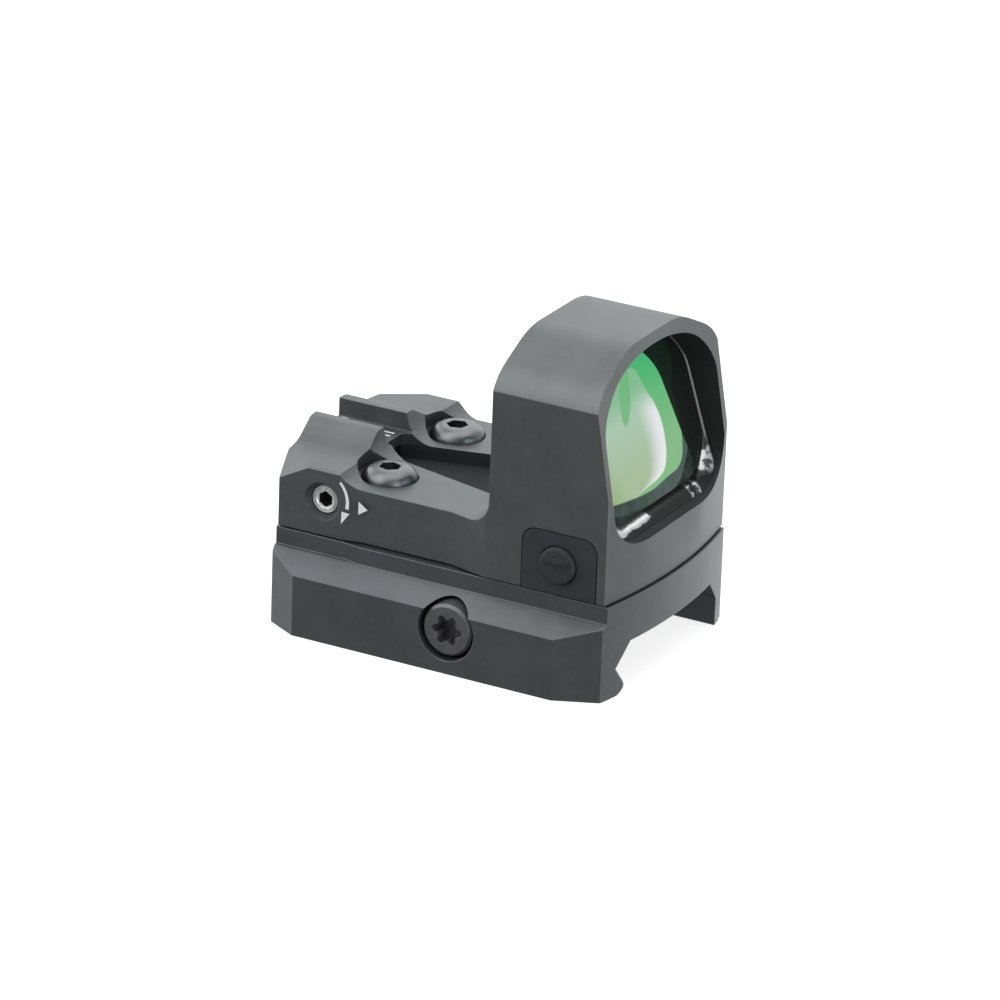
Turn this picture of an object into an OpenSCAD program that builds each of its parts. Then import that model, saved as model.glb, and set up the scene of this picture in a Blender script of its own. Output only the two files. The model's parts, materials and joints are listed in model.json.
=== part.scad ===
// Miniature reflex sight (red dot finder) on a rail clamp base.
// Units are millimetres. +Y points at the target, +X is the user's right,
// +Z is up. The origin is the centre of the face that rests on the rail.
// The sight is drawn with its clamp closed, its adjusters centred and its
// buttons released.

/* [Housing] */
// Width of the hood across its flat sides
hood_w = 25.4; // [25.2:0.1:26]
// Height of the hood top above the rail seat
hood_top = 29.2; // [29.2:0.1:30]
// Height where the hood sides turn into the sloping shoulders
shoulder_z = 24.63; // [24.3:0.01:24.8]
// Position of the vertical rear face of the hood
hood_rear_y = 5.55; // [5.3:0.05:5.8]
// Width of the recessed waist between hood and rear hump
waist_w = 23.3; // [23.2:0.1:24]
// Width of the rear hump
hump_w = 24.3; // [24:0.1:24.6]
// Height of the flat deck between hood and hump
deck_z = 10.45; // [10.4:0.05:10.6]
// Height of the shelf on each side of the hump
shelf_z = 11.86; // [11.8:0.01:11.95]
// Height of the two sighting ridges on the hump
ridge_z = 13.55; // [13.4:0.05:13.8]
// Half width of the sighting groove between the ridges
groove_half = 2.33; // [2.1:0.01:2.4]
// Radius of the bowed front face
front_r = 62; // [55:1:80]
// Radius of the fillet between the deck and the hood
deck_fillet = 2.4; // [1.5:0.1:2.6]

/* [Window] */
// Half width of the window opening
win_half = 11.88; // [11.6:0.01:11.9]
// Height of the lower edge of the window opening
win_low = 10.35; // [10.3:0.05:10.5]
// Radius of the lower corners of the window opening
win_corner = 4.6; // [4:0.1:5]
// Lean of the front face around the window, rearward travel per unit of height
front_lean = 0.175; // [0.16:0.005:0.19]
// Lean of the lens, rearward travel per unit of height
lens_lean = 0.325; // [0.31:0.005:0.33]
// Thickness of the bonded lens
lens_t = 3.6; // [3.5:0.1:3.8]
// Radius of the reflecting surface inside the lens
lens_inner_r = 56; // [52:1:62]

/* [Rail clamp base] */
// Thickness of the plate above the rail seat
plate_t = 4.65; // [4.6:0.05:4.7]
// Width over the two clamp pads
pad_w = 30.28; // [30.2:0.02:30.6]
// Depth of the clamp feet below the rail seat
foot_z = 5.35; // [5.3:0.05:5.6]
// Half width of the slot where it is widest
notch_half = 10.9; // [10.85:0.05:11]
// Position of the cross screw along the rail
bolt_y = 2.47; // [2.4:0.01:2.6]
// Diameter of the cross screw shank
bolt_d = 4; // [3.8:0.1:4]
// Diameter of the cross screw head
bolt_head_d = 5.5; // [5.3:0.1:5.6]
// Length of the moving jaw
jaw_len = 24; // [20:1:26]

/* [Screws and adjusters] */
// Distance of each body screw from the centre plane
screw_x = 6.9; // [6.8:0.05:7]
// Position of the body screws along the sight
screw_y = -8.9; // [-9:0.05:-8.8]
// Head diameter of the body screws
screw_head_d = 5.7; // [5.5:0.1:5.8]
// Position of the windage screw along the sight
windage_y = -13.66; // [-13.7:0.01:-13.6]
// Height of the windage screw axis
windage_z = 8.48; // [8.45:0.01:8.5]
// Position of the elevation screw along the sight
elevation_y = -15.6; // [-15.65:0.05:-15.5]

/* [Buttons] */
// Position of the button centres along the sight
button_y = 13.5; // [13.3:0.1:13.7]
// Height of the button centres
button_z = 8; // [7.9:0.1:8.1]
// Diameter of the button domes
button_d = 3.9; // [3.5:0.1:4]

/* [Hidden] */
$fn = 48;

// Housing
hood_half = hood_w / 2;
hump_half = hump_w / 2;
waist_half = waist_w / 2;
body_z = plate_t + 0.2;       // underside of the housing, above the gasket
cut_z = body_z - 1;           // start of the cuts made from below
hood_front_y = 18.77;         // front face at the hood sides
front_arc_y = hood_front_y - sqrt(front_r * front_r - hood_half * hood_half);
rear_r = 47;                  // radius of the bowed rear face of the housing
rear_arc_y = -20.25 + rear_r;
ridge_x = groove_half + 0.97; // outer edge of each ridge top
trough_floor = 8.9;
trough_front_y = 11.9;
trough_front_half = 7.8301;   // half width of the light trough at its front end

// Lens
lens_angle = atan(lens_lean);
lens_normal = [0, cos(lens_angle), sin(lens_angle)];
lens_point = [0, 15.03, 19.3]; // point on the flat front of the lens
joint_depth = 0.9;            // reflecting joint behind lens_point

// Clamp
pad_half = pad_w / 2;         // outer face of the clamp pads
pad_top_z = 1.13;             // where the pads meet the sloping flanks
bolt_z = -0.8;                // height of the cross screw axis
bolt_hole_r = bolt_d / 2 + 0.05;
jaw_rear_y = bolt_y - jaw_len / 2;
jaw_front_y = bolt_y + jaw_len / 2;
guide_pin_ys = [bolt_y - 8.2, bolt_y + 8.2];
guide_pin_z = 1.0;

// Body screws and locating pins
screw_seat_z = 9.95;          // underside of the body screw heads
screw_shank_r = 1.5;
locating_xy = [[6.6, -16.8], [10.8, 8]]; // right-hand pins
locating_hole_r = 1.02;

// Adjusters
adjuster_bore_r = 1.55;
thread_r = 0.6;
thread_hole_r = 0.63;
windage_pin_xy = [9.2, windage_y - 1.43];
elevation_pin_x = -1.34;
elevation_pin_z = 9.8;

// Electronics
battery_y = 1.5;              // centre of the battery along the sight
battery_r = 8;
board_top = 6.8;
ribbon_line = [[-3.9, -12.6], [-5.2, -7.4], [-8.9, -3.5], [-8.9, 6], [-7.67, 10.56]]; // X, Y

// ---- Outlines and curves ----

function rev(list) = [for (i = [len(list) - 1:-1:0]) list[i]];
function flip_x(outline) = [for (p = outline) [-p[0], p[1]]];
// Whole outline from its right half
function symmetric(side) = concat(side, rev(flip_x(side)));
function arc(centre, radii, angles) = [for (a = angles)
  [centre[0] + radii[0] * cos(a), centre[1] + radii[1] * sin(a)]];
// Point on a cubic Bezier curve with four control points
function bezier(control, t) = pow(1 - t, 3) * control[0]
  + 3 * pow(1 - t, 2) * t * control[1]
  + 3 * (1 - t) * t * t * control[2] + pow(t, 3) * control[3];
// Value that runs from v0 at height z0 to v1 at height z1
function ramp(z, z0, z1, v0, v1) = v0 + (v1 - v0) * max(0, min(1, (z - z0) / (z1 - z0)));
function left_normal(v) = [-v[1], v[0]] / norm(v);
// Shift of a corner that moves the edges before and after it left by 1
function miter(before, after) =
  let (sum = left_normal(before) + left_normal(after)) 2 / (sum * sum) * sum;
// Moves each corner of a counter-clockwise outline inwards by its own distance
function inset_each(outline, distances) = [for (i = [0:len(outline) - 1]) let (
    count = len(outline),
    before = outline[i] - outline[(i + count - 1) % count],
    after = outline[(i + 1) % count] - outline[i])
  outline[i] + distances[i] * miter(before, after)];
function inset(outline, distance) = inset_each(outline, [for (p = outline) distance]);
// Corner points of an open line, moved sideways to the left
function beside(line, offset) = [for (i = [0:len(line) - 1]) let (
    into = max(i, 1),
    out = min(i + 1, len(line) - 1))
  line[i] + offset * miter(line[into] - line[into - 1], line[out] - line[out - 1])];

// Right half of the window outline in X and Z, from bottom to top
win_shoulder = [[win_half, 21.4], [win_half, 23.2], [10.3, 25.1], [8.2, 26.35]];
win_crown = [[8.2, 26.35], [6.6, 27.25], [3.5, 28.05], [0.6, 28.05]];
win_outline = symmetric(concat(
  arc([win_half - win_corner, win_low + win_corner], [win_corner, win_corner],
    [-90:11.25:0]),
  [for (i = [0:7]) bezier(win_shoulder, i / 7)],
  [for (i = [1:6]) bezier(win_crown, i / 6)]));

// ---- Shared solids ----

// Outline in X and Z, pushed along Y from y0 to y1
module along_y(y0, y1) translate([0, y1, 0]) rotate([90, 0, 0])
  linear_extrude(y1 - y0) children();
// Outline in Y and Z, pushed along X from x0 to x1
module along_x(x0, x1) translate([x0, 0, 0]) rotate([90, 0, 90])
  linear_extrude(x1 - x0) children();
// Rod along X
module rod_x(x0, x1, y, z, radius) translate([x0, y, z]) rotate([0, 90, 0])
  cylinder(r = radius, h = x1 - x0);
module box(x0, x1, y0, y1, z0, z1) translate([x0, y0, z0])
  cube([x1 - x0, y1 - y0, z1 - z0]);
// Large upright cylinder whose wall bounds a bowed face
module bow(y, radius, z, height) translate([0, y, z])
  cylinder(r = radius, h = height, $fn = 180);
// Block above the plane through three points
module above_plane(p, q, r) {
  across = cross(q - p, r - p) / norm(cross(q - p, r - p));
  normal = across[2] < 0 ? -across : across;
  translate(p) rotate([0, acos(normal[2]), atan2(normal[1], normal[0])])
    translate([-30, -30, 0]) cube([60, 60, 12]);
}
// Right-hand children and their mirror image
module both_sides() for (s = [0, 1]) mirror([s, 0, 0]) children();
module at_body_screws(z) for (s = [-1, 1])
  translate([s * screw_x, screw_y, z]) children();
module at_locating_pins(z) for (s = [-1, 1]) for (p = locating_xy)
  translate([s * p[0], p[1], z]) children();
// Leaning block whose rear face lies at a depth behind the front of the lens
module lens_slab(depth, thickness = 30) translate(lens_point - depth * lens_normal)
  rotate([lens_angle, 0, 0]) translate([-20, 0, -30]) cube([40, thickness, 60]);
module ribbon_path(half, z0, z1) translate([0, 0, z0]) linear_extrude(z1 - z0)
  polygon(concat(beside(ribbon_line, -half), rev(beside(ribbon_line, half))));

// Outline, given in X and Z, laid ahead of a leaning surface that passes
// through height z at y; ahead holds one distance for each corner
function on_plane(outline, y, z, lean, ahead) = [for (i = [0:len(outline) - 1])
  [outline[i][0], y - lean * (outline[i][1] - z) + ahead[i], outline[i][1]]];
// Solid through a row of loops that all have the same number of corners. A
// ring closes on itself; otherwise each end is closed with strips across it.
module loft(loops, ring) {
  size = len(loops[0]);
  count = len(loops);
  walls = [for (k = [0:count - (ring ? 1 : 2)]) for (i = [0:size - 1]) let (
      next_i = (i + 1) % size,
      next_k = (k + 1) % count,
      a = k * size + i,
      b = k * size + next_i,
      c = next_k * size + next_i,
      d = next_k * size + i)
    each [[a, b, c], [a, c, d]]];
  ends = [for (k = [0, count - 1]) for (i = [0:size / 2 - 2]) let (
      a = k * size + i,
      b = a + 1,
      c = k * size + size - 2 - i,
      d = c + 1)
    each (k == 0 ? [[a, c, b], [a, d, c]] : [[a, b, c], [a, c, d]])];
  polyhedron(points = [for (v = loops) each v], faces = concat(walls, ring ? [] : ends),
    convexity = 6);
}

// ---- Housing ----

// Right halves of the hood and hump sections, X and Z
hood_side = [[hood_half, body_z], [hood_half, shoulder_z],
  [hood_half - 0.25, shoulder_z + 0.47], [hood_half - 0.7, shoulder_z + 1.05],
  [hood_half - 1.25, shoulder_z + 1.57], [hood_half - 1.9, shoulder_z + 2.02],
  [hood_half - 2.5, shoulder_z + 2.35], [7.3, hood_top - 0.82], [6.5, hood_top - 0.5],
  [5.7, hood_top - 0.27], [4.9, hood_top - 0.12], [4.1, hood_top - 0.03], [3.4, hood_top]];
hump_side = [[hump_half, body_z], [hump_half, shelf_z - 0.15], [hump_half - 0.15, shelf_z],
  [7.4, shelf_z + 0.04], [6.7, shelf_z + 0.14], [6.1, shelf_z + 0.32], [5.5, shelf_z + 0.6],
  [4.9, shelf_z + 0.92], [4.3, shelf_z + 1.26], [ridge_x + 0.45, ridge_z - 0.1],
  [ridge_x, ridge_z], [groove_half, ridge_z], [groove_half, 11.6]];
// Hump seen from the side, with a concave ramp down to the deck, Y and Z
hump_ramp = [[-21, body_z], [-21, 14], [-12.3, 14], [-12.3, ridge_z], [-12.1, 12.6],
  [-11.85, 12.05], [-11.5, 11.62], [-11.1, 11.25], [-10.7, 10.95], [-10.3, 10.72],
  [-9.9, 10.56], [-9.4, deck_z], [-9.4, body_z]];
// Right half of the plan: hump, recessed waist and the ramp out to the hood, X and Y
plan_side = [[hump_half + 1, -22], [hump_half + 1, -15.2], [waist_half, -9.2],
  [waist_half, 0.9], [hood_half + 1, 9.3], [hood_half + 1, 22]];
// Right half of the light trough plan, X and Y
trough_side = [[1.2, -12.35], [1.62, -12.18], [1.9, -11.9], [2.03, -11.5],
  [trough_front_half, trough_front_y]];

module hood_form() intersection() {
  along_y(hood_rear_y, 21) polygon(symmetric(hood_side));
  bow(front_arc_y, front_r, 0, 40);
  // leaning front face around the window
  translate([0, hood_front_y, 15.85]) rotate([atan(front_lean), 0, 0])
    translate([-20, -40, -30]) cube([40, 40, 60]);
}
// Deck, with the fillet up to the hood
module deck_form() {
  fillet_y = hood_rear_y - deck_fillet;
  fillet_z = deck_z + deck_fillet;
  box(-hood_half, hood_half, -10.5, hood_rear_y + 1, body_z, deck_z);
  along_x(-hood_half, hood_half) polygon(concat(
    [[fillet_y, deck_z - 1], [hood_rear_y + 1, deck_z - 1], [hood_rear_y + 1, fillet_z]],
    arc([fillet_y, fillet_z], [deck_fillet, deck_fillet], [0:-9:-90])));
}
module hump_form() intersection() {
  along_y(-21, -9.4) polygon(symmetric(hump_side));
  bow(rear_arc_y, rear_r, 0, 20);
  along_x(-13, 13) polygon(hump_ramp);
  // rear corners cut off at an angle
  difference() {
    box(-13, 13, -22, 0, 0, 20);
    both_sides() above_plane([hump_half, -15.25, shelf_z - 0.1],
      [hump_half, -18.57, shelf_z - 1.86], [9.38, -19.2, shelf_z]);
  }
}
// Outer form of the housing, before any pocket is cut
module housing_form() intersection() {
  union() {
    hood_form();
    deck_form();
    hump_form();
  }
  linear_extrude(40) polygon(symmetric(plan_side));
}

// Bevel along the lower lip of the window, which fades out round the corners
module lip_bevel() loft([
  on_plane(inset(win_outline, 0.02), 19.0, win_low, front_lean,
    [for (p = win_outline) 0]),
  on_plane(inset_each(win_outline,
      [for (p = win_outline) ramp(p[1], 11.2, 13.6, -1.17, 0.02)]),
    19.0, win_low, front_lean, [for (p = win_outline) 1.8])], false);
// Window pocket from the front, with a seat for the lens
module window_cut() {
  intersection() {
    along_y(5, 22) polygon(win_outline);
    lens_slab(lens_t + 0.05);
  }
  along_y(4, 22) polygon(inset(win_outline, 1.15));
  lip_bevel();
}
module trough_cut() translate([0, 0, trough_floor]) linear_extrude(12)
  polygon(symmetric(trough_side));
// Carriage bay behind the trough, with the seat of the emitter window
module carriage_bay() {
  box(-4.6, 4.6, -17.6, -12.5, cut_z, 9.05);
  box(-4.6, 4.6, -14.45, -12.5, cut_z, 10.5);
  box(-1.2, 1.2, -12.6, -12.2, trough_floor, 10.5);
}
// Battery pocket, circuit bay and the passage between them
module electronics_bay() {
  translate([0, battery_y, cut_z]) cylinder(r = battery_r + 0.2, h = 8.35 - cut_z);
  box(-8.8, 8.8, 10.4, 17.3, cut_z, 8.2);
  box(-2, 2, 9.3, 10.5, cut_z, 7.6);
}
module body_screw_cuts() {
  at_body_screws(screw_seat_z) cylinder(r = 2.93, h = 3);
  at_body_screws(deck_z) cylinder(r = 3.3, h = 6);
  at_body_screws(0) cylinder(r = screw_shank_r + 0.1, h = 12);
}
// Bore, flared or stepped mouth and retaining pin hole of each adjuster
module windage_cuts() {
  rod_x(4, 13, windage_y, windage_z, adjuster_bore_r);
  translate([11.52, windage_y, windage_z]) rotate([0, 90, 0])
    cylinder(r1 = adjuster_bore_r, r2 = 2.05, h = 0.7);
  translate([windage_pin_xy[0], windage_pin_xy[1], cut_z]) cylinder(r = 0.37, h = 5.4);
}
module elevation_cuts() {
  translate([0, elevation_y, 8]) cylinder(r = adjuster_bore_r, h = 6);
  translate([0, elevation_y, 11.25]) cylinder(r = 1.9, h = 3);
  translate([elevation_pin_x, -21, elevation_pin_z]) rotate([-90, 0, 0])
    cylinder(r = 0.27, h = 6.6);
}
// Pad recess, stem hole and switch pocket on each side
module button_cuts() both_sides() {
  along_x(12.0, 14) button_pad_outline(0.12);
  rod_x(10, 13, button_y, button_z, 1.05);
  box(8.4, 10.6, 11.95, 15.2, cut_z, 9.2);
}

module housing() color([0.24, 0.25, 0.26]) difference() {
  housing_form();
  window_cut();
  trough_cut();
  carriage_bay();
  electronics_bay();
  body_screw_cuts();
  windage_cuts();
  elevation_cuts();
  at_locating_pins(cut_z) cylinder(r = locating_hole_r, h = 2.55);
  button_cuts();
  ribbon_path(0.25, cut_z, 7.5);
}

// ---- Rail clamp base ----

base_half = 13.05;   // half width at the front and rear ends of the base
base_front_y = 20.35;
base_rear_y = -20.05;
base_edge_z = 2.85;  // foot of the upright upper edge
// Inner edge of the right foot, from the bottom up, X and Z
foot_lip = [[10.6, -foot_z], [9.95, -5.08], [9.58, -4.8], [9.45, -4.45], [9.62, -4.05],
  [notch_half, -2.35]];
// Section of the base, X and Z; the left foot is plain
base_section = concat(
  [[12.5, plate_t], [12.5, base_edge_z], [12.75, 2.72], [pad_half, pad_top_z],
    [pad_half, -foot_z]],
  foot_lip,
  [[8.6, 0], [-8.5, 0], [-10.7, -2.4], [-10.7, -foot_z], [-pad_half, -foot_z],
    [-pad_half, pad_top_z], [-12.75, 2.72], [-12.5, base_edge_z], [-12.5, plate_t]]);
base_plan = [[base_half, -18.9], [pad_half, -15.1], [pad_half, 14.5], [base_half, 19.05],
  [0, 22], [-base_half + 0.5, 19.05], [-pad_half, 15.1], [-pad_half, -15.1],
  [-base_half, -18.9], [0, -22]];
// Section of the moving jaw, mirrored to the right, X and Z
jaw_section = concat([[pad_half, -foot_z]], foot_lip,
  [[11.05, -2.3], [11.05, 2.4], [13.23, 2.4], [pad_half, pad_top_z]]);

module base_form() intersection() {
  along_y(-21, 21) polygon(base_section);
  bow(base_front_y - front_r, front_r, -20, 40);
  bow(base_rear_y + front_r, front_r, -20, 40);
  translate([0, 0, -20]) linear_extrude(40) polygon(base_plan);
}
module base_mount() color([0.22, 0.23, 0.24]) difference() {
  base_form();
  // narrower upper edge at the rear
  translate([0, 0, base_edge_z]) linear_extrude(3) both_sides()
    polygon([[12.15, -22], [14, -22], [14, -8.9], [12.5, -8.9], [12.15, -11]]);
  // bevel under the front of the left foot
  translate([-12.3, 19.1, -foot_z]) rotate([0, 45, 0]) cube([0.6, 6, 0.6], center = true);
  // cross screw hole, counterbore and the groove across the rail seat
  rod_x(-16, 16, bolt_y, bolt_z, bolt_hole_r);
  rod_x(12.2, 16, bolt_y, bolt_z, 3.15);
  box(-10, 10, bolt_y - 2.1, bolt_y + 2.1, -1.5, 0.5);
  // window for the moving jaw
  box(-16, -11.0, jaw_rear_y - 0.1, jaw_front_y + 0.1, -6, 2.5);
  box(-16, -8, jaw_rear_y - 0.1, jaw_front_y + 0.1, -6, -2.2);
  for (y = guide_pin_ys) rod_x(-12, -6.4, y, guide_pin_z, 0.72);
  // threaded holes for the body screws
  at_body_screws(-1) cylinder(r = screw_shank_r + 0.02, h = 7);
  at_locating_pins(2.7) cylinder(r = locating_hole_r, h = 3);
}

module clamp_jaw() color([0.24, 0.25, 0.26]) difference() {
  along_y(jaw_rear_y, jaw_front_y) polygon(flip_x(jaw_section));
  rod_x(-16, -10, bolt_y, bolt_z, bolt_hole_r);
  // spring pocket
  rod_x(-13.25, -10, bolt_y, bolt_z, 3.0);
  for (y = guide_pin_ys) rod_x(-13.6, -10, y, guide_pin_z, 0.75);
}

module clamp_screw() color([0.3, 0.3, 0.31]) difference() {
  shank_r = bolt_d / 2;
  head_r = bolt_head_d / 2;
  translate([0, bolt_y, bolt_z]) rotate([0, 90, 0]) rotate_extrude($fn = 64)
    polygon([[0, -15.0], [shank_r - 0.35, -15.0], [shank_r, -14.65], [shank_r, 12.25],
      [head_r, 12.25], [head_r, 14.6], [head_r - 0.28, 14.89], [0, 14.89]]);
  // six-lobe socket
  translate([13.1, bolt_y, bolt_z]) rotate([0, 90, 0]) {
    cylinder(r = 1.17, h = 3);
    for (a = [30:60:330]) rotate([0, 0, a]) translate([1.22, 0, 0])
      cylinder(r = 0.42, h = 3, $fn = 24);
  }
}

// Upright pin with bevelled ends, standing on the origin
module bevelled_pin(radius, length) rotate_extrude()
  polygon([[0, 0], [radius - 0.2, 0], [radius, 0.2], [radius, length - 0.2],
    [radius - 0.2, length], [0, length]]);
module jaw_guide_pins() color([0.7, 0.7, 0.72]) for (y = guide_pin_ys)
  translate([-13.5, y, guide_pin_z]) rotate([0, 90, 0]) bevelled_pin(0.7, 7.0);
module locating_pins() color([0.7, 0.7, 0.72])
  at_locating_pins(2.75) bevelled_pin(1, 3.6);

// Coil spring along X, computed as a tube around a helix
module coil(x0, x1, y, z, radius, wire_r, turns) {
  steps = turns * 20;
  sides = 8;
  points = [for (i = [0:steps]) for (j = [0:sides - 1]) let (
      t = i / steps,
      turn = 360 * turns * t,
      around = 360 * j / sides,
      reach = radius + wire_r * cos(around))
    [x0 + wire_r + (x1 - x0 - 2 * wire_r) * t + wire_r * sin(around),
     reach * cos(turn) + y, reach * sin(turn) + z]];
  faces = concat(
    [for (i = [0:steps - 1]) for (j = [0:sides - 1]) let (k = (j + 1) % sides)
      [i * sides + j, (i + 1) * sides + j, (i + 1) * sides + k, i * sides + k]],
    [[for (j = [0:sides - 1]) j]],
    [[for (j = [sides - 1:-1:0]) steps * sides + j]]);
  polyhedron(points = points, faces = faces, convexity = 6);
}
module jaw_spring() color([0.75, 0.75, 0.77])
  coil(x0 = -13.15, x1 = -11.1, y = bolt_y, z = bolt_z, radius = 2.5, wire_r = 0.22,
    turns = 3.5);

// Button head cap screws with a hexagon socket
module body_screws() color([0.78, 0.78, 0.8]) for (s = [-1, 1])
  translate([s * screw_x, screw_y, screw_seat_z]) rotate([0, 0, s * 12]) difference() {
    head_r = screw_head_d / 2;
    rotate_extrude($fn = 64) polygon(concat(
      [[0, -9.6], [screw_shank_r - 0.3, -9.6], [screw_shank_r, -9.3], [screw_shank_r, 0],
        [head_r - 0.05, 0], [head_r, 0.06], [head_r, 0.3]],
      arc([1.45, 0.3], [head_r - 1.45, 1.35], [10:10:80]),
      [[1.4, 1.65], [0, 1.65]]));
    translate([0, 0, 0.55]) cylinder(r = 1.155, h = 2, $fn = 6);
  }

module base_gasket() color([0.08, 0.08, 0.08]) difference() {
  intersection() {
    union() {
      box(-11.35, 11.35, -19.5, 4, plate_t, body_z);
      box(-12.2, 12.2, 4, 19.8, plate_t, body_z);
    }
    bow(front_arc_y - 0.25, front_r, 0, 9);
    bow(rear_arc_y + 0.6, rear_r, 0, 9);
  }
  // openings for the battery, the carriage bay and the circuit bay
  translate([0, battery_y, 0]) cylinder(r = battery_r + 0.4, h = 9);
  box(-4.7, 4.7, -17.7, -12, 4, 6);
  box(-8.9, 8.9, 10.3, 17.4, 4, 6);
  at_body_screws(4) cylinder(r = screw_shank_r + 0.2, h = 2);
  at_locating_pins(4) cylinder(r = 1.15, h = 2);
}

// ---- Lens ----

module glass() intersection() {
  along_y(4, 20) polygon(inset(win_outline, 0.36));
  lens_slab(lens_t, lens_t);
}
// Ball whose surface is the reflecting joint between the two lens elements
module mirror_ball(gap)
  translate(lens_point - (joint_depth + gap + lens_inner_r) * lens_normal)
    sphere(r = lens_inner_r, $fn = 360);
module lens_front_element() color([0.4, 0.8, 0.5, 0.5]) difference() {
  glass();
  mirror_ball(0);
}
module lens_rear_element() color([0.5, 0.75, 0.7, 0.4]) intersection() {
  glass();
  mirror_ball(0.005);
}

// Width of the bead of adhesive at a height, wider along the lower edge
function bead(z) = ramp(z, 12, 15.2, 1.1, 0.35);
// Loop of the bead, inset from the window edge and ahead of the lens front by
// a share of the bead width
function bead_loop(inset_share, ahead_share) = on_plane(
  inset_each(win_outline, [for (p = win_outline) 0.03 + bead(p[1]) * inset_share]),
  lens_point[1], lens_point[2], lens_lean,
  [for (p = win_outline) 0.035 + bead(p[1]) * ahead_share]);
// Quarter-round bead, closed along its corner at the window edge
module lens_bezel() color([0.03, 0.03, 0.03]) loft(concat(
  [for (a = [0:22.5:90]) bead_loop(sin(a), cos(a))], [bead_loop(0, 0)]), true);

module lens_sealant() color([0.1, 0.1, 0.1]) intersection() {
  difference() {
    along_y(5, 20) polygon(inset(win_outline, 0.03));
    along_y(4, 21) polygon(inset(win_outline, 0.34));
  }
  difference() {
    lens_slab(lens_t + 0.02);
    lens_slab(0.6);
  }
}

// ---- Adjusters ----

// Grooved screw profiles: radius, and height along the axis towards the head
windage_profile = [[0, -7.75], [thread_r, -7.75], [thread_r, -2.95], [1.5, -2.95],
  [1.5, -1.95], [1.05, -1.95], [1.05, -1.15], [1.5, -1.15], [1.5, -0.6], [1.12, -0.6],
  [1.12, -0.1], [1.5, -0.1], [1.5, 0.66], [1.38, 0.8], [1.3, 0.8], [1.26, 0.62],
  [1.2, 0.62], [1.16, 0.8], [1.02, 0.8], [0.92, 0.66], [0, 0.66]];
elevation_profile = [[0, -5.6], [thread_r, -5.6], [thread_r, -2.15], [1.5, -2.15],
  [1.5, -1.85], [1.05, -1.85], [1.05, -1.25], [1.5, -1.25], [1.5, -1.0], [1.12, -1.0],
  [1.12, -0.5], [1.5, -0.5], [1.5, -0.16], [1.34, 0], [1.02, 0], [0.92, -0.1], [0, -0.1]];

// Screw along +Z with a hexagon socket in its head
module adjuster(profile, socket_r, socket_h) difference() {
  rotate_extrude($fn = 48) polygon(profile);
  translate([0, 0, -0.9]) cylinder(r = socket_r, h = socket_h, $fn = 6);
}
module o_ring() rotate_extrude($fn = 48) translate([1.33, 0]) circle(r = 0.2, $fn = 24);

module windage_screw() color([0.8, 0.8, 0.82])
  translate([10.75, windage_y, windage_z]) rotate([0, 90, 0])
    adjuster(windage_profile, socket_r = 0.86, socket_h = 3);
module windage_o_ring() color([0.05, 0.05, 0.05])
  translate([10.4, windage_y, windage_z]) rotate([0, 90, 0]) o_ring();
module windage_retaining_pin() color([0.6, 0.6, 0.62])
  translate([windage_pin_xy[0], windage_pin_xy[1], body_z + 0.05])
    cylinder(r = 0.35, h = 4.3);
module elevation_screw() color([0.8, 0.8, 0.82]) translate([0, elevation_y, 11.35])
  adjuster(elevation_profile, socket_r = 0.75, socket_h = 2);
module elevation_o_ring() color([0.05, 0.05, 0.05])
  translate([0, elevation_y, 10.6]) o_ring();
module elevation_retaining_pin() color([0.6, 0.6, 0.62])
  translate([elevation_pin_x, -20.0, elevation_pin_z]) rotate([-90, 0, 0])
    cylinder(r = 0.25, h = 5.5);

module windage_carriage() color("gold") difference() {
  union() {
    box(-4, 4, -17.3, -12.6, 4.95, 8.9);
    both_sides() box(2.42, 4, -14.3, -12.6, 8, 9.75);
  }
  box(-2.42, 2.42, -16.5, -12, 5.35, 12);
  rod_x(2, 5, windage_y, windage_z, thread_hole_r);
}
module elevation_carriage() color("goldenrod") difference() {
  union() {
    box(-2.37, 2.37, -16.45, -12.95, 5.7, 8.7);
    box(-2.0, 2.0, -14.0, -12.95, 8, 10.15);
  }
  // pocket for the floating nut and a slot across it for the screw
  box(-1.65, 1.65, -16.9, -14.3, 6.6, 8.0);
  for (x = [-0.35, 0, 0.35]) translate([x, elevation_y, 5]) cylinder(r = 0.7, h = 6);
  box(-0.35, 0.35, elevation_y - 0.7, elevation_y + 0.7, 5, 9);
}
module elevation_nut() color([0.75, 0.65, 0.35]) difference() {
  box(-1.3, 1.3, -16.4, -14.35, 6.63, 7.97);
  translate([0, elevation_y, 6]) cylinder(r = thread_hole_r, h = 3);
}

// ---- Electronics ----

module led_emitter() color([0.9, 0.85, 0.75]) difference() {
  box(-0.8, 0.8, -12.95, -12.65, 9.3, 10.1);
  translate([0, -12.7, 9.7]) rotate([-90, 0, 0]) cylinder(r = 0.25, h = 1);
}
module emitter_window() color([0.5, 0.6, 0.6, 0.4])
  box(-1.1, 1.1, -12.45, -12.2, trough_floor + 0.02, 10.45);

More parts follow.
